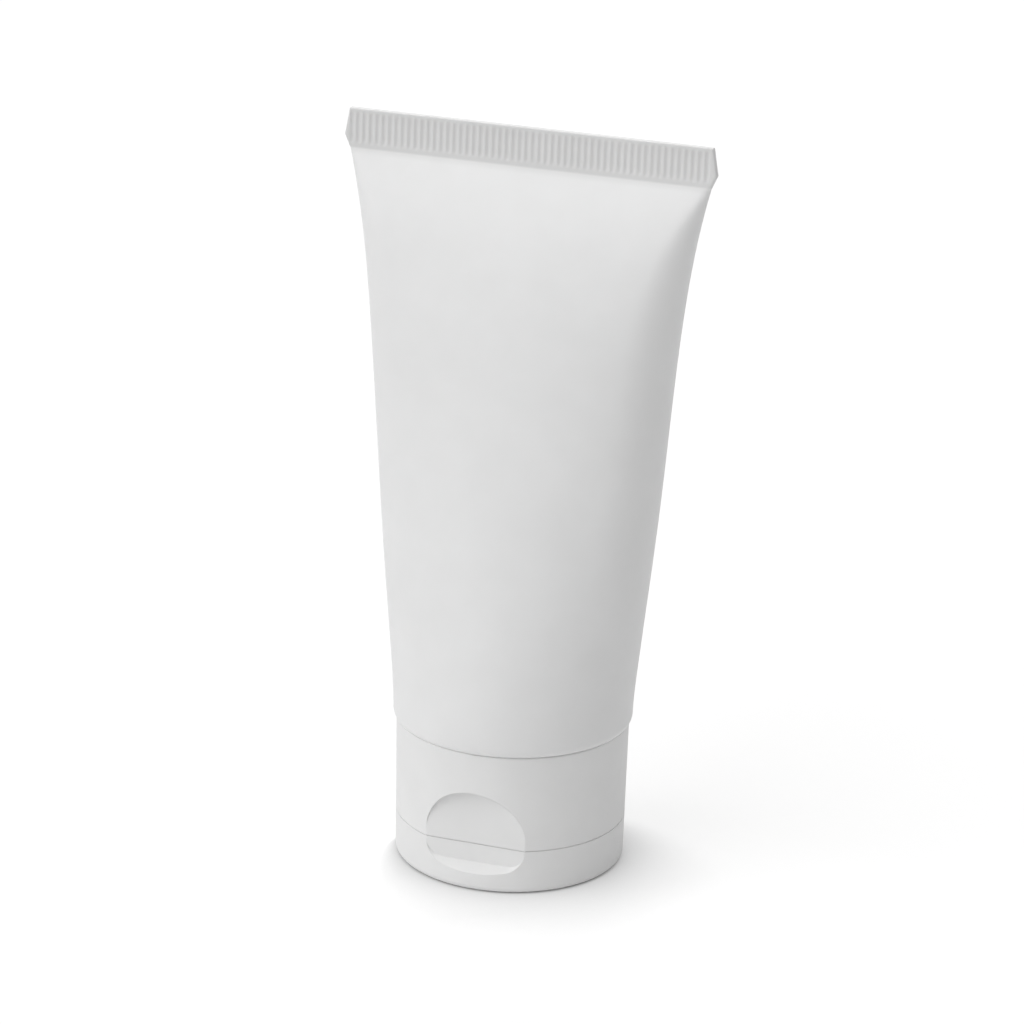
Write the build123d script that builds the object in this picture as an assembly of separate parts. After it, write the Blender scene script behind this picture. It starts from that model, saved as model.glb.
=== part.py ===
from build123d import *
import os
from math import cos, pi, radians, sin, tan

# A filled squeeze tube that stands on its flip-top cap.
# Millimetres. The origin is the middle of the lid's outer face, +Z runs up the tube to the seal,
# the thumb recess faces -Y, the hinge is at +Y and the seal lies along X.

# Film sleeve
tube_diameter = 35.0
film_wall = 0.5
corner_radius = 1.2
lip_width = 0.9
closing_height = 80.94
even_closing = 0.6
closing_power = 7.7
closing_onset = 0.07
side_arc_start = radians(52)
side_arc_power = 0.96
least_front_bow = radians(0.1)
section_count = 11
cavity_stop = 0.8

# Ribbed seal
seal_height = 5.8
seal_thickness = 1.0
seal_flare = 0.85
seal_flare_height = 1.9
seal_top_taper = 0.7
corner_tuck = 0.5
tuck_power = 12
rib_pitch = 0.97
rib_flank = 0.2
rib_crest = 0.3
rib_depth = 0.15
plain_strip_below = 0.9
plain_strip_above = 0.5
seal_end_margin = 0.15

# Flip-top cap, outside
cap_height = 21.3
cap_inset = 0.5
cap_draft = 0.23
lid_height = 6.7
parting_gap = 0.06
cap_seam = 0.06
rim_fillet = 0.2
foot_fillet = 1.0
parting_chamfer = 0.03

# Thumb recess
recess_depth = 1.78
recess_half_width = 7.6
recess_rise = 8.5
recess_ledge = 2.8
recess_ledge_slope = radians(34)
recess_corner = 2.6
recess_backing = 1.3

# Hinge
hinge_recess = 0.84
hinge_window = 2.5
hinge_backing = 1.2
strap_width = 9.0
strap_thickness = 0.4
strap_bend = 0.95

# Cap, inside
cap_wall = 1.4
lid_plate = 1.3
deck_thickness = 1.4
lip_height = 1.0
lip_thickness = 1.0
lip_clearance = 0.25
nozzle_bore = 2.05
nozzle_wall = 1.3
nozzle_length = 2.2
nozzle_taper = 0.35
plug_clearance = 0.25
plug_entry = 1.6
plug_tip_chamfer = 0.5
plug_bore = 0.9
rib_count = 6
rib_thickness = 0.9
rib_height = 4.0

# Head
weld_gap = 0.05
shoulder_drop = 2.4
shoulder_wall = 1.2
neck_radius = 7.5
neck_wall = 1.3
neck_plate = 1.2
neck_orifice = 2.5
neck_seat_gap = 0.05
bead_height = 0.45
bead_land = 0.4
bead_middle = 4.0
snap_clearance = 0.1
snap_gap = 0.3
collar_wall = 1.2
collar_margin = 0.4

# Filling
cream_gap = 0.4
cream_stop = 2.0

# Levels and radii that follow from the sizes above
tube_radius = tube_diameter / 2
girth = pi * tube_diameter
cap_top_radius = tube_radius - cap_inset
cap_foot_radius = cap_top_radius - cap_draft
shoulder_level = cap_height + cap_seam
sleeve_start = shoulder_level + corner_radius
seal_level = sleeve_start + closing_height
seal_top = seal_level + seal_height
lip_radius = tube_radius - corner_radius - lip_width
lid_rim = lid_height - parting_gap / 2
base_rim = lid_height + parting_gap / 2
deck_top = base_rim + deck_thickness
neck_end = deck_top + neck_seat_gap
neck_root = shoulder_level - shoulder_drop
cap_inner_radius = cap_foot_radius - cap_wall
on_end = (Align.CENTER, Align.CENTER, Align.MIN)


def cap_radius(height):
    """Outside radius of the drafted cap at a height."""
    return cap_foot_radius + cap_draft * height / cap_height


recess_floor = cap_radius(lid_height) - recess_depth
recess_top = lid_height + recess_rise
front_flat = recess_floor - recess_backing
hinge_flat = cap_radius(lid_height) - hinge_recess
rear_flat = hinge_flat - hinge_backing


def turned(points):
    """Solid of revolution about Z from a closed outline of (radius, height) points."""
    return revolve(Plane.XZ * make_face(Polyline(*points, close=True)), Axis.Z)


def half_depth(share):
    """Half the sleeve's depth: an even closing all the way up, and a quick one at the seal."""
    even = share ** 2 * (1 + closing_onset) / (share + closing_onset)
    closed = even_closing * even + (1 - even_closing) * share ** closing_power
    return tube_radius - (tube_radius - seal_thickness / 2) * closed


def film_section(share, inset):
    """Face of a four-centre oval at a share of the closing height, moved in by inset.

    The film doesn't stretch, so every section keeps the sleeve's girth, apart from what is tucked
    into the seal's corners. Front and back are flat arcs, and the sides are tight ones.
    """
    depth = half_depth(share)
    bow = max(side_arc_start * (1 - share) ** side_arc_power, least_front_bow)
    quarter = girth / 4 - corner_tuck * share ** tuck_power
    ratio = 1 / tan(bow / 2)
    # The side radius falls in step with the half width, so the girth gives the half width directly
    side_offset = ratio * depth / (ratio - 1)
    side_slope = -1 / (ratio - 1)
    rest = depth * bow - side_offset * bow / tan(bow) + side_offset * (pi / 2 - bow)
    gain = (1 - side_slope) * bow / tan(bow) + side_slope * (pi / 2 - bow)
    width = (quarter - rest) / gain
    side_radius = side_offset + side_slope * width
    side_centre = width - side_radius
    front_radius = side_radius + side_centre / sin(bow)
    front_centre = side_centre / tan(bow)
    join = (
        side_centre + (side_radius - inset) * sin(bow),
        (front_radius - inset) * cos(bow) - front_centre,
    )
    reach = (width - inset, depth - inset)
    corner_ne = (join[0], join[1])
    corner_nw = (-join[0], join[1])
    corner_sw = (-join[0], -join[1])
    corner_se = (join[0], -join[1])
    outline = [
        ThreePointArc(corner_se, (reach[0], 0), corner_ne),
        ThreePointArc(corner_ne, (0, reach[1]), corner_nw),
        ThreePointArc(corner_nw, (-reach[0], 0), corner_sw),
        ThreePointArc(corner_sw, (0, -reach[1]), corner_se),
    ]
    level = sleeve_start + share * closing_height
    return Pos(0, 0, level) * make_face(outline)


def film_body(inset, first, last):
    """Solid inside the film between two shares of the closing height, moved in by inset."""
    shares = [first + (last - first) * (1 - cos(pi * i / section_count)) / 2
              for i in range(section_count + 1)]
    return loft([film_section(share, inset) for share in shares])


def seal_half_width():
    """Half width of the sleeve where the seal begins."""
    return film_section(1, 0).bounding_box().max.X


def ribbed_seal():
    """Flat welded seal, corrugated by the sealing jaws, with a hexagonal end."""
    root = seal_half_width()
    widest = root + seal_flare
    top = widest - seal_top_taper
    half = seal_thickness / 2
    rib_half_width = top - seal_end_margin
    rib_total = int(2 * rib_half_width / rib_pitch)
    first = -rib_total * rib_pitch / 2
    wave = []
    for i in range(rib_total):
        left = first + i * rib_pitch
        wave += [
            (left, 0),
            (left + rib_flank, rib_depth),
            (left + rib_flank + rib_crest, rib_depth),
            (left + 2 * rib_flank + rib_crest, 0),
        ]
    wave.append((-first, 0))
    front = [(x, -half + y) for x, y in wave]
    back = [(x, half + y) for x, y in reversed(wave)]
    outline = [(-widest, -half), *front, (widest, -half), (widest, half), *back, (-widest, half)]
    rib_low = seal_level + plain_strip_below
    rib_high = seal_top - plain_strip_above
    ribs = Pos(0, 0, rib_low) * extrude(make_face(Polyline(*outline, close=True)), rib_high - rib_low)
    above = Pos(0, 0, rib_high) * Box(2 * widest, seal_thickness, plain_strip_above, align=on_end)
    below = Pos(0, 0, seal_level) * Box(2 * widest, seal_thickness, plain_strip_below, align=on_end)
    bulge = seal_level + seal_flare_height
    ends = [(-root, seal_level), (root, seal_level), (widest, bulge), (top, seal_top),
            (-top, seal_top), (-widest, bulge)]
    blank = extrude(Plane.XZ * make_face(Polyline(*ends, close=True)), tube_radius, both=True)
    return (below + ribs + above) & blank


def tube_sleeve():
    """Film sleeve: a turned-in corner on the shoulder, the closing wall and the ribbed seal."""
    wall = film_body(0, 0, 1) - film_body(film_wall, 0, 1 - cavity_stop / closing_height)
    corner_centre = tube_radius - corner_radius
    reach = corner_radius * sin(pi / 4)
    corner_outline = [
        Line((lip_radius, shoulder_level), (corner_centre, shoulder_level)),
        ThreePointArc((corner_centre, shoulder_level),
                      (corner_centre + reach, sleeve_start - reach),
                      (tube_radius, sleeve_start)),
        Line((tube_radius, sleeve_start), (tube_radius - film_wall, sleeve_start)),
        Line((tube_radius - film_wall, sleeve_start), (corner_centre, shoulder_level + film_wall)),
        Line((corner_centre, shoulder_level + film_wall), (lip_radius, shoulder_level + film_wall)),
        Line((lip_radius, shoulder_level + film_wall), (lip_radius, shoulder_level)),
    ]
    corner = revolve(Plane.XZ * make_face(corner_outline), Axis.Z)
    return corner + wall + ribbed_seal()


def tube_head():
    """Shoulder welded inside the sleeve's corner, and a neck with a snap bead and an orifice."""
    weld_radius = tube_radius - film_wall - weld_gap
    spigot = lip_radius - weld_gap
    weld_level = shoulder_level + film_wall + weld_gap
    weld_corner = corner_radius - film_wall
    bore = neck_radius - neck_wall
    inner_root = neck_root + shoulder_wall
    bead_level = deck_top + bead_middle
    bead = neck_radius + bead_height
    outline = [
        (weld_radius, sleeve_start),
        (weld_radius - weld_corner, weld_level),
        (spigot, weld_level),
        (spigot, shoulder_level),
        (neck_radius, neck_root),
        (neck_radius, bead_level + bead_land / 2 + bead_height),
        (bead, bead_level + bead_land / 2),
        (bead, bead_level - bead_land / 2),
        (neck_radius, bead_level - bead_land / 2 - 2 * bead_height),
        (neck_radius, neck_end),
        (neck_orifice, neck_end),
        (neck_orifice, neck_end + neck_plate),
        (bore, neck_end + neck_plate),
        (bore, inner_root),
        (spigot - weld_gap, sleeve_start),
    ]
    return turned(outline)


def adhesive_cream():
    """Filling that takes up the sleeve, the shoulder and the neck."""
    first = cream_gap / closing_height
    last = 1 - cream_stop / closing_height
    bulk = film_body(film_wall + cream_gap, first, last)
    fill = sleeve_start + cream_gap
    spigot = lip_radius - 2 * weld_gap
    neck = neck_radius - neck_wall - cream_gap
    slope = (spigot - neck_radius + neck_wall) / (sleeve_start - neck_root - shoulder_wall)
    outline = [
        (0, neck_end + neck_plate + cream_gap),
        (neck, neck_end + neck_plate + cream_gap),
        (neck, neck_root + shoulder_wall + cream_gap),
        (spigot - cream_gap * slope, fill),
        (0, fill),
    ]
    return bulk + turned(outline)


def recess_outline(depth):
    """Arched outline of the thumb recess on a plane at a depth from the tube's axis."""
    foot = lid_height - recess_ledge - (depth - recess_floor) * tan(recess_ledge_slope)
    spring = recess_top - recess_half_width
    side = recess_half_width
    corner = recess_corner
    turn = corner * (1 - cos(pi / 4))
    outline = [
        ThreePointArc((side, spring), (0, recess_top), (-side, spring)),
        Line((-side, spring), (-side, foot + corner)),
        ThreePointArc((-side, foot + corner), (-side + turn, foot + turn), (-side + corner, foot)),
        Line((-side + corner, foot), (side - corner, foot)),
        ThreePointArc((side - corner, foot), (side - turn, foot + turn), (side, foot + corner)),
        Line((side, foot + corner), (side, spring)),
    ]
    return Plane((0, -depth, 0), x_dir=(1, 0, 0), z_dir=(0, -1, 0)) * make_face(outline)


def thumb_recess():
    """Solid to cut away for the thumb: a flat floor with a sloped ledge at its foot."""
    outside = cap_top_radius + corner_radius
    return loft([recess_outline(recess_floor), recess_outline(outside)], ruled=True)


def hinge_pocket():
    """Solid to cut away behind the hinge, so that the strap lies inside the cap's outline."""
    depth = tube_radius - hinge_flat
    return Pos(0, hinge_flat, lid_height) * Box(2 * tube_radius, depth, 2 * hinge_window,
                                                align=(Align.CENTER, Align.MIN, Align.CENTER))


def inner_outline(inset):
    """Plan of the cap's inside: round, with flats behind the recess and behind the hinge."""
    front = front_flat - inset
    rear = rear_flat - inset
    flats = Pos(0, (rear - front) / 2) * Rectangle(2 * tube_radius, front + rear)
    return Circle(cap_inner_radius - inset) & flats


def cap_base():
    """Fixed half of the cap: drafted skirt, deck with nozzle and closing lip, and snap collar."""
    shell = turned([
        (0, base_rim),
        (cap_radius(base_rim) - parting_chamfer, base_rim),
        (cap_radius(base_rim + parting_chamfer), base_rim + parting_chamfer),
        (cap_top_radius, cap_height),
        (0, cap_height),
    ])
    rim = shell.edges().filter_by(GeomType.CIRCLE).group_by(Axis.Z)[-1]
    shell = fillet(rim, rim_fillet)

    collar_radius = neck_radius + bead_height + snap_clearance
    ridge_radius = neck_radius + snap_clearance
    ridge_step = collar_radius - ridge_radius
    ridge_level = deck_top + bead_middle + bead_land / 2 + bead_height + snap_gap
    collar_top = ridge_level + 2 * ridge_step + bead_land + collar_margin
    collar = Pos(0, 0, deck_top) * Cylinder(collar_radius + collar_wall, collar_top - deck_top, align=on_end)
    socket = turned([
        (0, deck_top),
        (collar_radius, deck_top),
        (collar_radius, ridge_level - ridge_step),
        (ridge_radius, ridge_level),
        (ridge_radius, ridge_level + bead_land),
        (collar_radius, ridge_level + bead_land + ridge_step),
        (collar_radius, collar_top),
        (0, collar_top),
    ])
    rib = Pos(0, 0, deck_top) * Box(tube_radius, rib_thickness, rib_height,
                                    align=(Align.MIN, Align.CENTER, Align.MIN))
    ribs = [Rot(0, 0, 360 * (i + 0.5) / rib_count) * rib for i in range(rib_count)]

    # The collar and the ribs are what the hollow leaves standing, so they always reach the skirt
    backed_top = recess_top + recess_backing
    hollow = Pos(0, 0, deck_top) * extrude(inner_outline(0), backed_top - deck_top)
    hollow += Pos(0, 0, backed_top) * extrude(Circle(cap_inner_radius), cap_height - backed_top)
    shell = shell - (hollow - collar - ribs) - socket

    lip_ring = inner_outline(lip_clearance) - inner_outline(lip_clearance + lip_thickness)
    lip = Pos(0, 0, base_rim - lip_height) * extrude(lip_ring, lip_height)

    nozzle_radius = nozzle_bore + nozzle_wall
    nozzle_end = base_rim - nozzle_length
    nozzle = turned([
        (0, nozzle_end),
        (nozzle_radius - nozzle_taper, nozzle_end),
        (nozzle_radius, base_rim),
        (0, base_rim),
    ])
    orifice = Pos(0, 0, nozzle_end) * Cylinder(nozzle_bore, deck_top - nozzle_end, align=on_end)
    return shell + lip + nozzle - orifice - thumb_recess() - hinge_pocket()


def flip_lid():
    """Lid that the tube stands on: a shallow cup with a plug for the nozzle."""
    cup = turned([
        (0, 0),
        (cap_foot_radius, 0),
        (cap_radius(lid_rim - parting_chamfer), lid_rim - parting_chamfer),
        (cap_radius(lid_rim) - parting_chamfer, lid_rim),
        (0, lid_rim),
    ])
    foot = cup.edges().filter_by(GeomType.CIRCLE).group_by(Axis.Z)[0]
    cup = fillet(foot, foot_fillet)
    cup -= Pos(0, 0, lid_plate) * extrude(inner_outline(0), lid_rim - lid_plate)

    plug_radius = nozzle_bore - plug_clearance
    plug_top = base_rim - nozzle_length + plug_entry
    plug = turned([
        (plug_bore, lid_plate),
        (plug_radius, lid_plate),
        (plug_radius, plug_top - plug_tip_chamfer),
        (plug_radius - plug_tip_chamfer, plug_top),
        (plug_bore, plug_top),
    ])
    return cup + plug - thumb_recess() - hinge_pocket()


def living_hinge():
    """Film strap, bent outwards between the two hinge flats when the lid is shut."""
    outer = strap_bend + strap_thickness / 2
    inner = strap_bend - strap_thickness / 2
    bend = Circle(outer) - Circle(inner)
    bend &= Pos(outer / 2, 0) * Rectangle(outer, 2 * outer)
    plane = Plane((0, hinge_flat, lid_height), x_dir=(0, 1, 0), z_dir=(1, 0, 0))
    return extrude(plane * bend, strap_width / 2, both=True)


pieces = {
    "tube_sleeve": tube_sleeve(),
    "tube_head": tube_head(),
    "adhesive_cream": adhesive_cream(),
    "cap_base": cap_base(),
    "flip_lid": flip_lid(),
    "living_hinge": living_hinge(),
}

os.makedirs("parts", exist_ok=True)
for name, piece in pieces.items():
    export_step(piece, f"parts/{name}.step")
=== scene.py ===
"""Looks of a plain white squeeze tube that stands on its flip-top cap.

Sizes are in millimetres and meshes in metres, in the frame of the solids: the origin is the middle of the
lid's outer face, +Z runs up the tube to the seal, the thumb recess faces -Y and the hinge is at +Y.
"""

import logging
import math
from dataclasses import dataclass, field
from enum import Enum

import bmesh
import bpy
from mathutils import Matrix, Vector, noise


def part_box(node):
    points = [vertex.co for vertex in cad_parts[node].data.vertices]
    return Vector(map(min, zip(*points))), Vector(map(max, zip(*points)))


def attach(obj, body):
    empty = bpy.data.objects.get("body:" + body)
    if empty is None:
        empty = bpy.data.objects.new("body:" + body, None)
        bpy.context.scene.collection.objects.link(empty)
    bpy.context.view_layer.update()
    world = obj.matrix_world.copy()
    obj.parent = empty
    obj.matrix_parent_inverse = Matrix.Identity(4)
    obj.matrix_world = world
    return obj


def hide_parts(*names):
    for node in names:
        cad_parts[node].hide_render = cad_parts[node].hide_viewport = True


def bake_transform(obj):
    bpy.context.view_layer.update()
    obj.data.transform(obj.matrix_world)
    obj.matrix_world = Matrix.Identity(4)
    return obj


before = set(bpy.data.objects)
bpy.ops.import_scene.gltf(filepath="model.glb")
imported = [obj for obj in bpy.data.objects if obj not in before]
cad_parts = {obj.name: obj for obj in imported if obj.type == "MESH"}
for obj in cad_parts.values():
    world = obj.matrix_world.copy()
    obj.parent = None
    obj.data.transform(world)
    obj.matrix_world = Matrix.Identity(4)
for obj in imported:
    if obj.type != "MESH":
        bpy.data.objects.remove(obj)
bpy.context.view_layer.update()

MM = 0.001
NOISE_SPAN = (0.3, 0.7)  # nearly all values of a noise texture lie in it

Point = tuple[float, float, float]
Color = tuple[float, float, float]

log = logging.getLogger("squeeze_tube")


class Body(Enum):
    """Bodies that a piece can ride on."""

    TUBE = "tube"
    LID = "lid"


class Slot(Enum):
    """Material slots of the record."""

    FILM = "sleeve_film"
    CAP = "cap_plastic"


class Face(Enum):
    """Broad faces of the sleeve, with the sign of Y that they look towards."""

    FRONT = -1
    BACK = 1


def smooth(low: float, high: float, value: float) -> float:
    """Rise from 0 to 1 between two values, with no corner at either end.

    Args:
        low: value up to which the result is 0
        high: value from which the result is 1
        value: where to read the rise

    Returns:
        A share from 0 to 1.
    """
    t = min(max((value - low) / (high - low), 0.0), 1.0)
    return t * t * (3 - 2 * t)


def direction(azimuth: float, elevation: float) -> Vector:
    """Direction from the tube to something that stands round it.

    Args:
        azimuth: degrees from the recess's side towards +X
        elevation: degrees above the floor

    Returns:
        A vector of length 1.
    """
    turn, rise = math.radians(azimuth), math.radians(elevation)
    return Vector((math.sin(turn) * math.cos(rise), -math.cos(turn) * math.cos(rise), math.sin(rise)))


def bump_hill(distance: float) -> float:
    """Round hill of height 1 at 0 that has run out at a distance of about 3."""
    return math.exp(-distance * distance / 2)


class MeshDraft:
    """Points in millimetres and faces, gathered until they become one object."""

    def __init__(self) -> None:
        """Start with no points and no faces."""
        self.points: list[Point] = []
        self.faces: list[list[int]] = []

    def ring(self, points: list[Point]) -> list[int]:
        """Add a row of points.

        Args:
            points: places in millimetres

        Returns:
            The numbers of the new points.
        """
        start = len(self.points)
        self.points.extend(points)
        return list(range(start, len(self.points)))

    def face(self, corners: list[int]) -> None:
        """Add a face, leaving out corners that repeat.

        Args:
            corners: numbers of its points, in order
        """
        distinct = list(dict.fromkeys(corners))
        if len(distinct) > 2:
            self.faces.append(distinct)

    def band(self, lower: list[int], upper: list[int]) -> None:
        """Join two closed rings of as many points with quads.

        Args:
            lower: numbers of the first ring's points
            upper: numbers of the second ring's points
        """
        for i, low in enumerate(lower):
            j = (i + 1) % len(lower)
            self.face([low, lower[j], upper[j], upper[i]])

    def slit(self, ring: list[int]) -> None:
        """Close a flat ring by joining each point to the one across from it.

        Args:
            ring: numbers of its points, which mirror each other about the first one
        """
        count = len(ring)
        for i in range(count // 2):
            self.face([ring[i], ring[i + 1], ring[-i - 1], ring[-i % count]])

    def build(self, name: str, material: bpy.types.Material, crease: float) -> bpy.types.Object:
        """Make the object, with its faces turned outwards and its edges smooth up to an angle.

        Args:
            name: the piece's name
            material: its finish
            crease: angle between faces, in degrees, from which an edge stays sharp

        Returns:
            The new object, linked to the scene.
        """
        mesh = bpy.data.meshes.new(name)
        mesh.from_pydata([Vector(p) * MM for p in self.points], [], self.faces)
        shape = bmesh.new()
        shape.from_mesh(mesh)
        bmesh.ops.recalc_face_normals(shape, faces=shape.faces)
        shape.to_mesh(mesh)
        shape.free()
        mesh.shade_smooth()
        mesh.set_sharp_from_angle(angle=math.radians(crease))
        mesh.materials.append(material)
        piece = bpy.data.objects.new(name, mesh)
        bpy.context.scene.collection.objects.link(piece)
        return piece


class MaterialDraft:
    """Node tree of one finish, around a Principled shader."""

    def __init__(self, name: str) -> None:
        """Start a material with one shader.

        Args:
            name: the material's name
        """
        self.material = bpy.data.materials.new(name)
        self.material.use_nodes = True
        self.tree = self.material.node_tree
        self.tree.nodes.clear()
        self.output = self.tree.nodes.new("ShaderNodeOutputMaterial")
        self.shader = self.tree.nodes.new("ShaderNodeBsdfPrincipled")
        self.link(self.shader.outputs["BSDF"], self.output.inputs["Surface"])

    def link(self, source: bpy.types.NodeSocket, target: bpy.types.NodeSocket) -> None:
        """Join an output to an input."""
        self.tree.links.new(source, target)

    def set(self, **values: float | Color) -> None:
        """Set the shader's sockets.

        Args:
            values: socket names, with _ for a space, and their values
        """
        for name, value in values.items():
            socket = self.shader.inputs[name.replace("_", " ")]
            socket.default_value = (*value, 1.0) if name.endswith("Color") else value

    def coordinates(self, scale: Point) -> bpy.types.NodeSocket:
        """Place on the piece, stretched along the axes.

        Args:
            scale: how many times each axis is counted

        Returns:
            The socket that gives the place.
        """
        place = self.tree.nodes.new("ShaderNodeTexCoord")
        stretch = self.tree.nodes.new("ShaderNodeMapping")
        stretch.inputs["Scale"].default_value = scale
        self.link(place.outputs["Object"], stretch.inputs["Vector"])
        return stretch.outputs["Vector"]

    def grain(self, size: float, detail: float, stretch: Point = (1, 1, 1)) -> bpy.types.NodeSocket:
        """Noise with grains of a given size.

        Args:
            size: width of a grain in millimetres
            detail: how many finer layers lie on it
            stretch: how much shorter the grains are along each axis

        Returns:
            The socket that gives a value from 0 to 1.
        """
        texture = self.tree.nodes.new("ShaderNodeTexNoise")
        texture.inputs["Scale"].default_value = 1 / (size * MM)
        texture.inputs["Detail"].default_value = detail
        self.link(self.coordinates(stretch), texture.inputs["Vector"])
        return texture.outputs["Fac"]

    def between(self, source: bpy.types.NodeSocket, low: float, high: float) -> bpy.types.NodeSocket:
        """Spread noise over a range.

        Args:
            source: socket that gives the noise
            low: result where the noise is low
            high: result where the noise is high

        Returns:
            The socket that gives the result.
        """
        spread = self.tree.nodes.new("ShaderNodeMapRange")
        spread.inputs["From Min"].default_value = NOISE_SPAN[0]
        spread.inputs["From Max"].default_value = NOISE_SPAN[1]
        spread.inputs["To Min"].default_value = low
        spread.inputs["To Max"].default_value = high
        self.link(source, spread.inputs["Value"])
        return spread.outputs["Result"]

    def tint(self, source: bpy.types.NodeSocket, dark: Color, light: Color) -> None:
        """Let noise choose the base colour.

        Args:
            source: socket that gives the noise
            dark: colour where the noise is low
            light: colour where the noise is high
        """
        ramp = self.tree.nodes.new("ShaderNodeValToRGB")
        first, last = ramp.color_ramp.elements
        first.position, first.color = NOISE_SPAN[0], (*dark, 1.0)
        last.position, last.color = NOISE_SPAN[1], (*light, 1.0)
        self.link(source, ramp.inputs["Fac"])
        self.link(ramp.outputs["Color"], self.shader.inputs["Base Color"])

    def sheen(self, size: float, detail: float, span: tuple[float, float]) -> None:
        """Let noise vary the roughness.

        Args:
            size: width of a patch in millimetres
            detail: how many finer layers lie on it
            span: lowest and highest roughness
        """
        self.link(self.between(self.grain(size, detail), *span), self.shader.inputs["Roughness"])

    def above(self, level: float, blur: float) -> bpy.types.NodeSocket:
        """Tell what lies above a level.

        Args:
            level: height in millimetres
            blur: height over which the answer changes

        Returns:
            The socket that gives 0 below the level and 1 above it.
        """
        place = self.tree.nodes.new("ShaderNodeTexCoord")
        parts = self.tree.nodes.new("ShaderNodeSeparateXYZ")
        rise = self.tree.nodes.new("ShaderNodeMapRange")
        rise.inputs["From Min"].default_value = level * MM
        rise.inputs["From Max"].default_value = (level + blur) * MM
        self.link(place.outputs["Object"], parts.inputs["Vector"])
        self.link(parts.outputs["Z"], rise.inputs["Value"])
        return rise.outputs["Result"]

    def darken(self, amount: bpy.types.NodeSocket, tone: Color) -> None:
        """Multiply the base colour by a tone where a value is high.

        Args:
            amount: socket that gives the value from 0 to 1
            tone: what the colour is multiplied by at 1
        """
        base = self.shader.inputs["Base Color"]
        source = base.links[0].from_socket
        blend = self.tree.nodes.new("ShaderNodeMix")
        blend.data_type = "RGBA"
        blend.blend_type = "MULTIPLY"
        factor, first, second = (next(s for s in blend.inputs if s.identifier == name)
                                 for name in ("Factor_Float", "A_Color", "B_Color"))
        second.default_value = (*tone, 1.0)
        self.link(amount, factor)
        self.link(source, first)
        self.link(next(s for s in blend.outputs if s.identifier == "Result_Color"), base)

    def bump(
        self,
        source: bpy.types.NodeSocket,
        height: float,
        under: bpy.types.NodeSocket | None = None,
    ) -> bpy.types.NodeSocket:
        """Raise the surface by a value.

        Args:
            source: socket that gives the height from 0 to 1
            height: height in millimetres at 1
            under: normal that the bump lies on, if any

        Returns:
            The socket that gives the normal.
        """
        raised = self.tree.nodes.new("ShaderNodeBump")
        raised.inputs["Distance"].default_value = height * MM
        self.link(source, raised.inputs["Height"])
        if under is not None:
            self.link(under, raised.inputs["Normal"])
        return raised.outputs["Normal"]

    def rounded_edges(self, radius: float, samples: int) -> bpy.types.NodeSocket:
        """Normal that runs smoothly over sharp edges.

        Args:
            radius: radius of the rounding in millimetres
            samples: how many places around are looked at

        Returns:
            The socket that gives the normal.
        """
        rounding = self.tree.nodes.new("ShaderNodeBevel")
        rounding.samples = samples
        rounding.inputs["Radius"].default_value = radius * MM
        return rounding.outputs["Normal"]


@dataclass(frozen=True)
class SatinFilm:
    """White extruded film: satin, a little cloudy, greyer over the seal."""

    name: str = "satin_film"
    dark: Color = (0.845, 0.845, 0.843)
    light: Color = (0.875, 0.875, 0.874)
    cloud_size: float = 9.0
    grain_size: float = 0.16
    grain_height: float = 0.006
    line_width: float = 0.5
    line_stretch: float = 0.02
    line_height: float = 0.006
    sheen_size: float = 1.2
    roughness: tuple[float, float] = (0.42, 0.52)
    sealed_tone: Color = (0.865, 0.865, 0.865)
    sealed_blur: float = 0.3

    def material(self, seal_level: float) -> bpy.types.Material:
        """Make the material.

        Args:
            seal_level: height in millimetres from which the film is welded to itself

        Returns:
            The material.
        """
        draft = MaterialDraft(self.name)
        draft.tint(draft.grain(self.cloud_size, detail=3), self.dark, self.light)
        # Darker above the seal level
        draft.darken(draft.above(seal_level, self.sealed_blur), self.sealed_tone)
        draft.sheen(self.sheen_size, detail=4, span=self.roughness)
        drawn = draft.grain(self.line_width, detail=2, stretch=(1, 1, self.line_stretch))
        lines = draft.bump(drawn, self.line_height)
        grain = draft.bump(draft.grain(self.grain_size, detail=2), self.grain_height, lines)
        draft.link(grain, draft.shader.inputs["Normal"])
        draft.set(IOR=1.46, Specular_IOR_Level=0.4, Subsurface_Weight=0.12, Subsurface_Scale=0.0012,
                  Subsurface_Radius=(1.0, 0.95, 0.9))
        return draft.material


@dataclass(frozen=True)
class MouldedPlastic:
    """White moulded plastic with the fine spark-eroded grain of its mould."""

    name: str = "moulded_plastic"
    dark: Color = (0.835, 0.835, 0.833)
    light: Color = (0.86, 0.86, 0.858)
    cloud_size: float = 6.0
    grain_size: float = 0.11
    grain_height: float = 0.008
    sheen_size: float = 0.9
    roughness: tuple[float, float] = (0.46, 0.56)
    edge_radius: float = 0.22
    edge_samples: int = 8

    def material(self) -> bpy.types.Material:
        """Make the material.

        Returns:
            The material.
        """
        draft = MaterialDraft(self.name)
        draft.tint(draft.grain(self.cloud_size, detail=3), self.dark, self.light)
        draft.sheen(self.sheen_size, detail=4, span=self.roughness)
        edges = draft.rounded_edges(self.edge_radius, self.edge_samples)
        grain = draft.bump(draft.grain(self.grain_size, detail=3), self.grain_height, edges)
        draft.link(grain, draft.shader.inputs["Normal"])
        draft.set(IOR=1.49, Specular_IOR_Level=0.4, Subsurface_Weight=0.08, Subsurface_Scale=0.001,
                  Subsurface_Radius=(1.0, 0.95, 0.9))
        return draft.material


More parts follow.
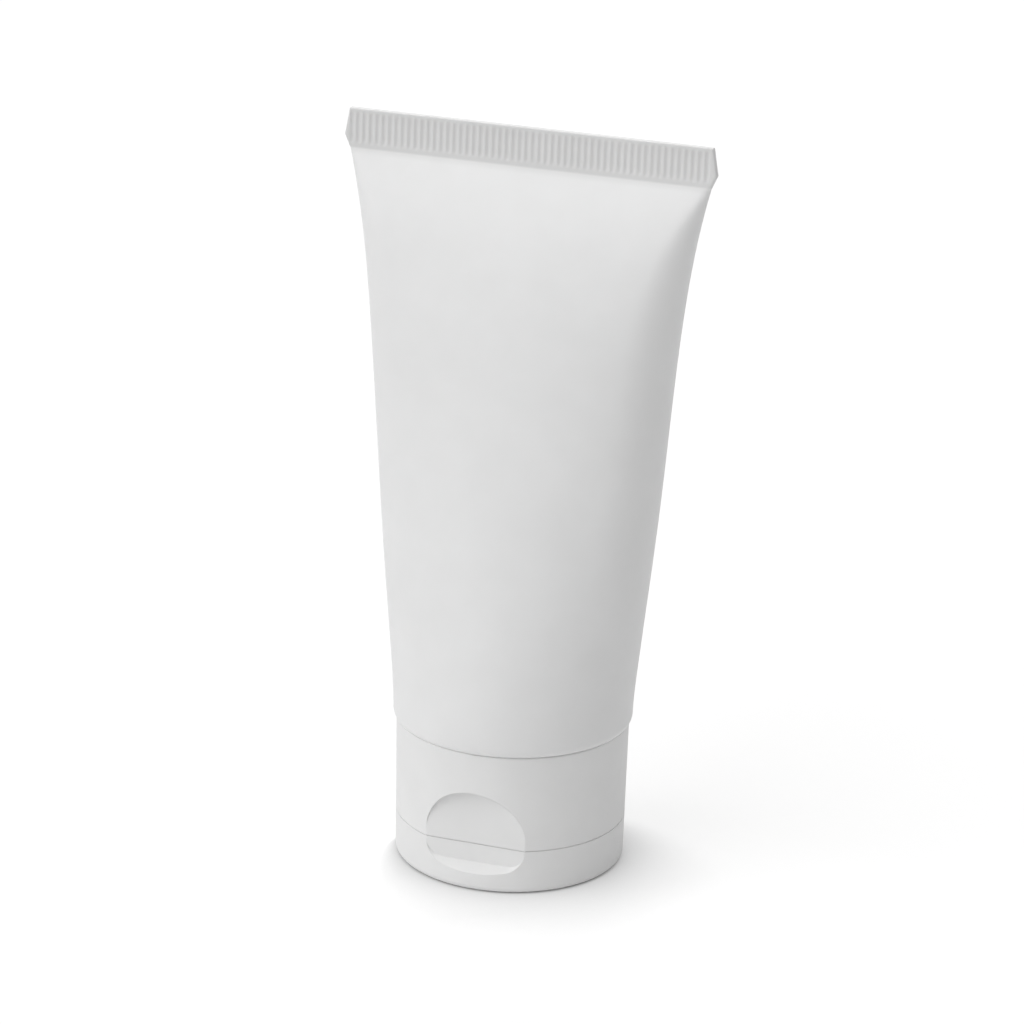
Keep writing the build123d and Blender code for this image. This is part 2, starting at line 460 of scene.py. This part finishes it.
@dataclass(frozen=True)
class SoftCream:
    """Pale pink cream with a soft, slightly wet surface."""

    name: str = "soft_cream"
    dark: Color = (0.85, 0.69, 0.65)
    light: Color = (0.89, 0.75, 0.71)
    swirl_size: float = 7.0
    swirl_height: float = 0.12
    sheen_size: float = 2.0
    roughness: tuple[float, float] = (0.3, 0.42)

    def material(self) -> bpy.types.Material:
        """Make the material.

        Returns:
            The material.
        """
        draft = MaterialDraft(self.name)
        swirl = draft.grain(self.swirl_size, detail=2)
        draft.tint(swirl, self.dark, self.light)
        draft.sheen(self.sheen_size, detail=3, span=self.roughness)
        draft.link(draft.bump(swirl, self.swirl_height), draft.shader.inputs["Normal"])
        draft.set(IOR=1.4, Subsurface_Weight=0.3, Subsurface_Scale=0.002, Subsurface_Radius=(1.0, 0.6, 0.5))
        return draft.material


@dataclass(frozen=True)
class FilmOval:
    """Four-centre oval section of the sleeve: flat arcs front and back, tight arcs at the sides.

    Attributes:
        depth: half its size along Y
        bow: half angle of the front arc, in radians
        quarter: length of a quarter of its outline
    """

    depth: float
    bow: float
    quarter: float

    @property
    def half_width(self) -> float:
        """Half its size along X, which the outline's length fixes.

        Returns:
            The half width in millimetres.
        """
        offset, slope = self._side_law()
        run = self.bow / math.tan(self.bow)
        rest = self.depth * self.bow - offset * run + offset * (math.pi / 2 - self.bow)
        gain = (1 - slope) * run + slope * (math.pi / 2 - self.bow)
        return (self.quarter - rest) / gain

    def _side_law(self) -> tuple[float, float]:
        """Offset and slope of the line that gives the side radius from the half width."""
        ratio = 1 / math.tan(self.bow / 2)
        return ratio * self.depth / (ratio - 1), -1 / (ratio - 1)

    def side_radius(self) -> float:
        """Radius of the tight arcs."""
        offset, slope = self._side_law()
        return offset + slope * self.half_width

    def quarter_point(self, share: float) -> tuple[Vector, Vector]:
        """Point of the first quarter.

        Args:
            share: share of the quarter's length, 0 at +X and 1 at +Y

        Returns:
            The point and the outward normal there, both in the plane of the section.
        """
        radius = self.side_radius()
        centre = self.half_width - radius
        length = share * self.quarter
        side_length = radius * (math.pi / 2 - self.bow)
        if length < side_length:
            angle = length / radius
            normal = Vector((math.cos(angle), math.sin(angle)))
            return Vector((centre, 0)) + normal * radius, normal
        front_radius = radius + centre / math.sin(self.bow)
        angle = self.bow - (length - side_length) / front_radius
        normal = Vector((math.sin(angle), math.cos(angle)))
        return normal * front_radius - Vector((0, centre / math.tan(self.bow))), normal

    def point(self, turn: float) -> tuple[Vector, Vector]:
        """Point anywhere on the outline.

        Args:
            turn: quarters from +X towards +Y, 0 to 4

        Returns:
            The point and the outward normal there.
        """
        share = turn % 2
        share = 2 - share if share > 1 else share
        spot, normal = self.quarter_point(share)
        flip = Vector((-1 if 1 < turn < 3 else 1, -1 if turn > 2 else 1))
        return spot * flip, normal * flip


@dataclass(frozen=True)
class FilmLine:
    """Line of the film that runs up the tube.

    Attributes:
        turn: place round the girth in quarters, 0 to 4 from +X towards +Y
        on_body: whether it runs down the closing wall too, and not over the seal alone
    """

    turn: float
    on_body: bool


@dataclass(frozen=True)
class FilmDent:
    """Soft hollow in the film.

    Attributes:
        face: broad face that it lies in
        across: place along the film from the face's middle line, towards +X
        height: height above the floor
        spread: half size across and up
        depth: how deep it is
        lean: how far it moves across for each millimetre up
    """

    face: Face
    across: float
    height: float
    spread: tuple[float, float]
    depth: float
    lean: float = 0.0

    def sink(self, face: Face, across: float, height: float) -> float:
        """Depth of the hollow at a place.

        Args:
            face: broad face of the place
            across: place along the film from the face's middle line
            height: height above the floor

        Returns:
            The depth in millimetres.
        """
        if face is not self.face:
            return 0.0
        up = height - self.height
        aside = across - self.across - self.lean * up
        return self.depth * bump_hill(math.hypot(aside / self.spread[0], up / self.spread[1]))


@dataclass
class FilmSleeve:
    """Film sleeve: a turned-in corner on the shoulder, the closing wall and the ribbed seal."""

    # Wall and shoulder
    film_wall: float = 0.5
    corner_radius: float = 1.2
    corner_reach: float = 0.6
    lip_width: float = 0.9
    # How the round foot closes into the seal
    even_closing: float = 0.6
    closing_power: float = 7.7
    closing_onset: float = 0.07
    side_arc_start: float = math.radians(52)
    side_arc_power: float = 0.96
    least_front_bow: float = math.radians(0.1)
    cavity_stop: float = 0.8
    corner_tuck: float = 0.5
    tuck_power: float = 12
    # Seal and its ribs
    seal_height: float = 5.8
    seal_thickness: float = 1.0
    seal_flare: float = 0.85
    seal_flare_height: float = 1.9
    seal_top_taper: float = 0.7
    rib_pitch: float = 0.97
    rib_flank: float = 0.2
    rib_crest: float = 0.3
    rib_depth: float = 0.15
    rib_runout: float = 0.25
    plain_strip_below: float = 0.9
    plain_strip_above: float = 0.5
    seal_end_margin: float = 0.15
    seal_end_round: float = 0.35
    cut_edge: float = 0.1
    # Where the film gives way, as shares of the closing height, and how much
    firm_foot: tuple[float, float] = (0.02, 0.2)
    firm_top: float = 0.1
    waviness: float = 0.1
    wave_length: float = 26.0
    dents: list[FilmDent] = field(default_factory=lambda: [
        FilmDent(Face.FRONT, -2.6, 75.0, (6.5, 12.0), 0.38, -0.5),
        FilmDent(Face.BACK, 6.0, 70.0, (8.0, 11.0), 0.2),
    ])
    # Fineness of the mesh
    lines_per_rib: int = 8
    lines_per_cell: int = 4
    end_lines: int = 6
    wall_rows: int = 110
    inner_rows: int = 36
    corner_rows: int = 9
    crease: float = 40.0
    # Worked out from the solid
    tube_radius: float = field(init=False)
    shoulder_level: float = field(init=False)
    sleeve_start: float = field(init=False)
    seal_level: float = field(init=False)
    closing_height: float = field(init=False)
    seal_oval: FilmOval = field(init=False)
    rib_reach: float = field(init=False)
    lines: list[FilmLine] = field(init=False)

    def __post_init__(self) -> None:
        """Take the overall sizes from the solid that this sleeve stands for."""
        low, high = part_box("tube_sleeve")
        self.tube_radius = high.y / MM
        self.shoulder_level = low.z / MM
        self.sleeve_start = self.shoulder_level + self.corner_radius
        self.seal_level = high.z / MM - self.seal_height
        self.closing_height = self.seal_level - self.sleeve_start
        self.seal_oval = self.oval(1.0)
        ribs = int(2 * (self.seal_reach(self.seal_height) - self.seal_end_margin) / self.rib_pitch)
        self.rib_reach = ribs * self.rib_pitch / 2
        self.lines = self.film_lines()

    def oval(self, share: float) -> FilmOval:
        """Section of the closing wall.

        Args:
            share: share of the closing height, 0 at the shoulder and 1 at the seal

        Returns:
            The section, which keeps the sleeve's girth but for what is tucked into the corners.
        """
        even = share ** 2 * (1 + self.closing_onset) / (share + self.closing_onset)
        closed = self.even_closing * even + (1 - self.even_closing) * share ** self.closing_power
        depth = self.tube_radius - (self.tube_radius - self.seal_thickness / 2) * closed
        bow = max(self.side_arc_start * (1 - share) ** self.side_arc_power, self.least_front_bow)
        quarter = math.pi * self.tube_radius / 2 - self.corner_tuck * share ** self.tuck_power
        return FilmOval(depth, bow, quarter)

    def film_lines(self) -> list[FilmLine]:
        """Lines all round the film, close together over the ribs.

        Returns:
            The lines in order from +X towards +Y.
        """
        quarter = self.seal_oval.quarter
        step = self.rib_pitch / self.lines_per_rib
        count = round(self.rib_reach / step)
        end = 1 - self.rib_reach / quarter
        shares = [(end * i / self.end_lines, True) for i in range(self.end_lines)]
        shares += [(1 - (self.rib_reach - step * i) / quarter, i % self.lines_per_cell == 0)
                   for i in range(count + 1)]
        half = shares + [(2 - share, kept) for share, kept in reversed(shares[1:-1])]
        whole = half + [(2 + share, kept) for share, kept in half]
        return [FilmLine(share, kept) for share, kept in whole]

    def sag(self, turn: float, height: float) -> float:
        """How far the film gives way inwards at a place.

        Args:
            turn: place round the girth in quarters
            height: height above the floor

        Returns:
            The distance in millimetres, 0 at the shoulder and at the seal.
        """
        share = (height - self.sleeve_start) / self.closing_height
        hold = smooth(*self.firm_foot, share) * smooth(0, self.firm_top, 1 - share)
        face = Face.BACK if turn <= 2 else Face.FRONT
        across = (1 - turn if face is Face.BACK else turn - 3) * self.seal_oval.quarter
        angle = turn * math.pi / 2
        girth_radius = self.tube_radius / self.wave_length
        spot = Vector((math.cos(angle) * girth_radius, math.sin(angle) * girth_radius,
                       height / self.wave_length))
        wave = self.waviness * noise.noise(spot)
        return hold * (wave + sum(dent.sink(face, across, height) for dent in self.dents))

    def wall_ring(self, share: float, inset: float) -> list[Point]:
        """Ring of points on the closing wall.

        Args:
            share: share of the closing height
            inset: distance in from the outer face

        Returns:
            One point for each line on the body.
        """
        oval = self.oval(share)
        height = self.sleeve_start + share * self.closing_height
        ring = []
        for line in self.lines:
            if line.on_body:
                spot, normal = oval.point(line.turn)
                spot = spot - normal * (inset + self.sag(line.turn, height))
                ring.append((spot.x, spot.y, height))
        return ring

    def round_ring(self, radius: float, height: float) -> list[Point]:
        """Round ring of points at the shoulder.

        Args:
            radius: its radius
            height: its height

        Returns:
            One point for each line on the body.
        """
        turns = [line.turn * math.pi / 2 for line in self.lines if line.on_body]
        return [(radius * math.cos(turn), radius * math.sin(turn), height) for turn in turns]

    def rib_wave(self, across: float) -> float:
        """Height of the corrugation at a place along the seal, 0 to 1.

        Args:
            across: place along X from the middle

        Returns:
            The share of a rib's full height.
        """
        if abs(across) >= self.rib_reach:
            return 0.0
        place = (across + self.rib_reach) % self.rib_pitch
        down = 2 * self.rib_flank + self.rib_crest
        return smooth(0, self.rib_flank, place) * (1 - smooth(down - self.rib_flank, down, place))

    def seal_reach(self, height: float) -> float:
        """Half width of the seal at a height above its foot.

        Args:
            height: height above the foot

        Returns:
            The half width: it flares out above the foot and tapers to the cut edge.
        """
        root = self.seal_oval.half_width
        if height < self.seal_flare_height:
            return root + self.seal_flare * height / self.seal_flare_height
        taper = (height - self.seal_flare_height) / (self.seal_height - self.seal_flare_height)
        return root + self.seal_flare - self.seal_top_taper * taper

    def seal_ring(self, height: float, ribbed: float, inset: float) -> list[Point]:
        """Ring of points on the seal.

        Args:
            height: height above the seal's foot
            ribbed: share of the ribs' full height
            inset: distance in from the outer face, for the cut edge

        Returns:
            One point for each line.
        """
        ring = []
        for line in self.lines:
            across = line.turn % 2
            x, y = self.seal_point(min(across, 2 - across), self.seal_reach(height), inset)
            x = -x if 1 < line.turn < 3 else x
            y = -y if line.turn > 2 else y
            ring.append((x, y + self.rib_depth * ribbed * self.rib_wave(x), self.seal_level + height))
        return ring

    def seal_point(self, share: float, reach: float, inset: float) -> tuple[float, float]:
        """Point on a quarter of the flat seal: straight over the ribs, then round the end.

        Args:
            share: share of the film's quarter, 0 at the end and 1 in the middle
            reach: half width of the seal
            inset: distance in from the outer face

        Returns:
            The point's X and Y.
        """
        face = self.seal_thickness / 2 - inset
        across = (1 - share) * self.seal_oval.quarter
        if across <= self.rib_reach:
            return across, face
        turn = (across - self.rib_reach) / (self.seal_oval.quarter - self.rib_reach)
        rounding = min(self.seal_end_round, reach - self.rib_reach)
        straight = reach - rounding - self.rib_reach
        if turn < 0.5:
            return self.rib_reach + straight * 2 * turn, face
        angle = math.pi * (turn - 0.5)
        return reach - rounding + (rounding - inset) * math.sin(angle), face * math.cos(angle)

    def seal_rings(self) -> list[list[Point]]:
        """Rings of the seal from just above its foot to its cut edge.

        Returns:
            One list of points for each ring.
        """
        rib_low = self.plain_strip_below
        rib_high = self.seal_height - self.plain_strip_above
        middle = (self.seal_flare_height + rib_high) / 2
        rows = [
            (rib_low / 2, 0, 0),
            (rib_low, 0, 0),
            (rib_low + self.rib_runout, 1, 0),
            (self.seal_flare_height, 1, 0),
            (middle, 1, 0),
            (rib_high - self.rib_runout, 1, 0),
            (rib_high, 0, 0),
            (self.seal_height - self.cut_edge, 0, 0),
            (self.seal_height, 0, self.cut_edge),
        ]
        return [self.seal_ring(*row) for row in rows]

    def shoulder_rings(self) -> list[list[Point]]:
        """Rings from the inside of the wall's foot, round the lip and up the outer corner.

        Returns:
            One list of points for each ring.
        """
        centre = self.tube_radius - self.corner_radius
        lip = centre - self.lip_width
        floor = self.shoulder_level
        inside = floor + self.film_wall
        rings = [self.round_ring(centre, inside), self.round_ring(lip, inside),
                 self.round_ring(lip, floor)]
        for i in range(self.corner_rows):
            angle = math.pi / 2 * i / self.corner_rows
            radius = self.tube_radius - self.corner_reach * (1 - math.sin(angle))
            rings.append(self.round_ring(radius, self.sleeve_start - self.corner_radius * math.cos(angle)))
        return rings

    def build(self, finish: SatinFilm) -> bpy.types.Object:
        """Make the sleeve and put it in place of its solid.

        Args:
            finish: finish of the film

        Returns:
            The new piece.
        """
        draft = MeshDraft()
        last_inner = 1 - self.cavity_stop / self.closing_height
        inner = [self.wall_ring(last_inner * i / self.inner_rows, self.film_wall)
                 for i in range(self.inner_rows, -1, -1)]
        outer = [self.wall_ring(i / self.wall_rows, 0) for i in range(self.wall_rows)]
        wall = [draft.ring(points) for points in inner + self.shoulder_rings() + outer]
        foot = [self.seal_oval.point(line.turn)[0] for line in self.lines]
        seal = [draft.ring(points) for points in
                ([(spot.x, spot.y, self.seal_level) for spot in foot], *self.seal_rings())]
        draft.slit(wall[0])
        for rings in (wall, seal):
            for lower, upper in zip(rings, rings[1:]):
                draft.band(lower, upper)
        self.join(draft, wall[-1], seal[0])
        draft.slit(seal[-1])
        piece = draft.build("film_sleeve", finish.material(self.seal_level), self.crease)
        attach(piece, Body.TUBE.value)
        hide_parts("tube_sleeve")
        return piece

    def join(self, draft: MeshDraft, wall: list[int], seal: list[int]) -> None:
        """Join the wall's last ring to the seal's finer first ring.

        Args:
            draft: mesh that holds both rings
            wall: numbers of the wall ring's points
            seal: numbers of the seal ring's points
        """
        stops = [i for i, line in enumerate(self.lines) if line.on_body]
        ends = stops[1:] + [len(seal)]
        for i, (first, last) in enumerate(zip(stops, ends)):
            top = [seal[k % len(seal)] for k in range(first, last + 1)]
            draft.face([wall[i], wall[(i + 1) % len(wall)], *reversed(top)])


@dataclass
class FlipTopCap:
    """Flip-top cap: the fixed half, the lid that the tube stands on, and the film hinge between them."""

    strap_width: float = 9.0
    strap_thickness: float = 0.4
    strap_edge: float = 0.08
    strap_rows: int = 24
    crease: float = 50.0

    def strap_section(self) -> list[tuple[float, float]]:
        """Outline of the strap across its length, with its edges cut off.

        Returns:
            Pairs of a place along X and a distance from the middle of the thickness.
        """
        side = self.strap_width / 2
        face = self.strap_thickness / 2
        edge = self.strap_edge
        quarter = [(side, face - edge), (side - edge, face)]
        mirrored = [(-x, y) for x, y in reversed(quarter)]
        return quarter + mirrored + [(-x, -y) for x, y in quarter] + [(-x, -y) for x, y in mirrored]

    def build_strap(self, material: bpy.types.Material) -> bpy.types.Object:
        """Make the strap as a half ring on the hinge flats.

        Args:
            material: finish of the cap

        Returns:
            The new piece.
        """
        low, high = (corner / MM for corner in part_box("living_hinge"))
        level = (low.z + high.z) / 2
        bend = (high.z - low.z - self.strap_thickness) / 2
        section = self.strap_section()
        draft = MeshDraft()
        rings = []
        for i in range(self.strap_rows + 1):
            angle = math.pi * (i / self.strap_rows - 0.5)
            rings.append(draft.ring([
                (x, low.y + (bend + y) * math.cos(angle), level + (bend + y) * math.sin(angle))
                for x, y in section]))
        for first, second in zip(rings, rings[1:]):
            draft.band(first, second)
        draft.face(rings[0])
        draft.face(rings[-1])
        strap = draft.build("hinge_strap", material, self.crease)
        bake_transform(strap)
        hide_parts("living_hinge")
        return strap

    def dress(self, finish: MouldedPlastic) -> list[bpy.types.Object]:
        """Give both halves of the cap their finish and add the strap.

        Args:
            finish: finish of the moulding

        Returns:
            The three pieces.
        """
        material = finish.material()
        halves = [dress_solid(name, material) for name in ("cap_base", "flip_lid")]
        return [*halves, self.build_strap(material)]


@dataclass
class TubeInside:
    """What the closed tube hides: the moulded head and the filling."""

    head: MouldedPlastic = MouldedPlastic(
        name="head_plastic",
        dark=(0.83, 0.83, 0.815),
        light=(0.86, 0.86, 0.85),
    )
    filling: SoftCream = SoftCream()

    def dress(self) -> list[bpy.types.Object]:
        """Give both solids their finish.

        Returns:
            The two pieces.
        """
        return [dress_solid("tube_head", self.head.material()),
                dress_solid("adhesive_cream", self.filling.material())]


def dress_solid(name: str, material: bpy.types.Material) -> bpy.types.Object:
    """Give a solid of the frame its finish.

    Args:
        name: the solid's name
        material: its finish

    Returns:
        The solid's object.
    """
    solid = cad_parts[name]
    solid.data.materials.clear()
    solid.data.materials.append(material)
    return solid


@dataclass(frozen=True)
class SoftLamp:
    """Broad distant lamp.

    Attributes:
        name: the lamp's name
        azimuth: where it stands, in degrees from the recess's side towards +X
        elevation: how high it stands, in degrees
        strength: its strength
        spread: angle that it takes up, in degrees
    """

    name: str
    azimuth: float
    elevation: float
    strength: float
    spread: float

    def build(self) -> bpy.types.Object:
        """Hang the lamp.

        Returns:
            The lamp's object.
        """
        lamp = bpy.data.lights.new(self.name, "SUN")
        lamp.energy = self.strength
        lamp.angle = math.radians(self.spread)
        stand = bpy.data.objects.new(self.name, lamp)
        stand.rotation_mode = "QUATERNION"
        stand.rotation_quaternion = direction(self.azimuth, self.elevation).to_track_quat("Z", "Y")
        bpy.context.scene.collection.objects.link(stand)
        return stand


@dataclass
class Studio:
    """White floor, soft light from above, the left and the back, and a camera at the photograph's angle."""

    # Floor
    floor_size: float = 6000.0
    floor_color: Color = (0.85, 0.85, 0.85)
    floor_glow: float = 1.27
    glow_share: float = 0.5
    # Painted contact shade on the floor: its reach, the span over which the reach grows, and the turn of
    # that span
    painted_shade_reach: tuple[float, float] = (0.3, 17.0)
    painted_shade_span: tuple[float, float] = (-10.0, 20.0)
    painted_shade_turn: float = 45.0
    # Light
    sky_light: float = 0.325
    lamps: tuple[SoftLamp, ...] = (
        SoftLamp("top_lamp", 0.0, 89.0, 0.81, 30.0),
        SoftLamp("side_lamp", -40.0, 40.0, 1.3, 60.0),
        SoftLamp("back_lamp", 200.0, 28.0, 0.5, 30.0),
    )
    # Camera
    azimuth: float = 19.02
    elevation: float = 19.46
    roll: float = 1.63
    distance: float = 600.5
    lens: float = 147.6
    sensor: float = 36.0
    aim_height: float = 60.0
    slide_right: float = 1.18
    slide_up: float = 7.07
    clip: tuple[float, float] = (10.0, 20000.0)

    @staticmethod
    def seen_directly(tree: bpy.types.NodeTree) -> bpy.types.NodeSocket:
        """Light path that reaches the camera straight, by reflection or through glass.

        Args:
            tree: node tree to add to

        Returns:
            The socket that gives 1 for such a path and 0 for light that falls on the object.
        """
        path = tree.nodes.new("ShaderNodeLightPath")
        total = path.outputs["Is Camera Ray"]
        for name in ("Is Glossy Ray", "Is Transmission Ray"):
            either = tree.nodes.new("ShaderNodeMath")
            either.operation = "MAXIMUM"
            tree.links.new(total, either.inputs[0])
            tree.links.new(path.outputs[name], either.inputs[1])
            total = either.outputs["Value"]
        return total

    def painted_shade_distance(self, tree: bpy.types.NodeTree) -> bpy.types.NodeSocket:
        """Reach of the painted contact shade around the foot, which is longer on the side away from the
        lamps.

        Args:
            tree: node tree to add to

        Returns:
            The socket that gives the reach at each place on the floor.
        """
        place = tree.nodes.new("ShaderNodeTexCoord")
        turned = tree.nodes.new("ShaderNodeMapping")
        turned.inputs["Rotation"].default_value = (0.0, 0.0, math.radians(self.painted_shade_turn))
        axes = tree.nodes.new("ShaderNodeSeparateXYZ")
        reach = tree.nodes.new("ShaderNodeMapRange")
        reach.inputs["From Min"].default_value = self.painted_shade_span[0] * MM
        reach.inputs["From Max"].default_value = self.painted_shade_span[1] * MM
        reach.inputs["To Min"].default_value = self.painted_shade_reach[0] * MM
        reach.inputs["To Max"].default_value = self.painted_shade_reach[1] * MM
        tree.links.new(place.outputs["Object"], turned.inputs["Vector"])
        tree.links.new(turned.outputs["Vector"], axes.inputs["Vector"])
        tree.links.new(axes.outputs["X"], reach.inputs["Value"])
        return reach.outputs["Result"]

    def build_floor(self) -> bpy.types.Object:
        """Lay the floor: pale, lifted to white where it is seen, with a painted contact shade that darkens
        it where the object stands close.

        Returns:
            The floor.
        """
        material = bpy.data.materials.new("studio_floor")
        material.use_nodes = True
        tree = material.node_tree
        tree.nodes.clear()
        paint = tree.nodes.new("ShaderNodeBsdfDiffuse")
        paint.inputs["Color"].default_value = (*self.floor_color, 1.0)
        glow = tree.nodes.new("ShaderNodeEmission")
        glow.inputs["Strength"].default_value = self.floor_glow
        # Painted contact shade: occlusion darkens the floor's glow where the object stands close
        painted_shade = tree.nodes.new("ShaderNodeAmbientOcclusion")
        tree.links.new(self.painted_shade_distance(tree), painted_shade.inputs["Distance"])
        amount = tree.nodes.new("ShaderNodeMath")
        amount.operation = "MULTIPLY"
        amount.inputs[1].default_value = self.glow_share
        both = tree.nodes.new("ShaderNodeMixShader")
        output = tree.nodes.new("ShaderNodeOutputMaterial")
        tree.links.new(self.seen_directly(tree), amount.inputs[0])
        tree.links.new(painted_shade.outputs["Color"], glow.inputs["Color"])
        tree.links.new(amount.outputs["Value"], both.inputs["Fac"])
        tree.links.new(paint.outputs["BSDF"], both.inputs[1])
        tree.links.new(glow.outputs["Emission"], both.inputs[2])
        tree.links.new(both.outputs["Shader"], output.inputs["Surface"])
        half = self.floor_size / 2
        draft = MeshDraft()
        draft.face(draft.ring([(-half, -half, 0), (half, -half, 0), (half, half, 0), (-half, half, 0)]))
        floor = draft.build("studio_floor", material, crease=180)
        return floor

    def light(self) -> None:
        """Set an even sky and the lamps, and keep the picture's tones as they are."""
        world = bpy.data.worlds.new("studio_sky")
        world.use_nodes = True
        tree = world.node_tree
        sky = tree.nodes["Background"]
        sky.inputs["Color"].default_value = (1.0, 1.0, 1.0, 1.0)
        spread = tree.nodes.new("ShaderNodeMapRange")
        spread.inputs["To Min"].default_value = self.sky_light
        tree.links.new(self.seen_directly(tree), spread.inputs["Value"])
        tree.links.new(spread.outputs["Result"], sky.inputs["Strength"])
        bpy.context.scene.world = world
        for lamp in self.lamps:
            lamp.build()
        bpy.context.scene.view_settings.view_transform = "Standard"

    def place_camera(self) -> None:
        """Stand the camera where the photograph was taken from."""
        back = direction(self.azimuth, self.elevation)
        level = direction(self.azimuth + 90, 0)
        roll = math.radians(self.roll)
        right = level * math.cos(roll) + back.cross(level) * math.sin(roll)
        up = back.cross(right)
        spot = Vector((0, 0, self.aim_height)) + back * self.distance
        spot -= right * self.slide_right + up * self.slide_up
        camera = bpy.data.cameras.new("studio_camera")
        camera.lens = self.lens
        camera.sensor_width = self.sensor
        camera.clip_start, camera.clip_end = (reach * MM for reach in self.clip)
        stand = bpy.data.objects.new("studio_camera", camera)
        turn = Matrix((right, up, back)).transposed().to_4x4()
        stand.matrix_world = Matrix.Translation(spot * MM) @ turn
        bpy.context.scene.collection.objects.link(stand)
        bpy.context.scene.camera = stand

    def build(self) -> bpy.types.Object:
        """Set up the floor, the light and the camera.

        Returns:
            The floor.
        """
        self.light()
        self.place_camera()
        return self.build_floor()


def main() -> None:
    """Build every part of the scene in order and report each piece."""
    logging.basicConfig(level=logging.INFO, format="%(message)s")
    pieces = [
        FilmSleeve().build(SatinFilm()),
        *FlipTopCap().dress(MouldedPlastic()),
        *TubeInside().dress(),
        Studio().build(),
    ]
    for piece in pieces:
        log.info("%s: %d faces", piece.name, len(piece.data.polygons))


if __name__ == "__main__":
    main()
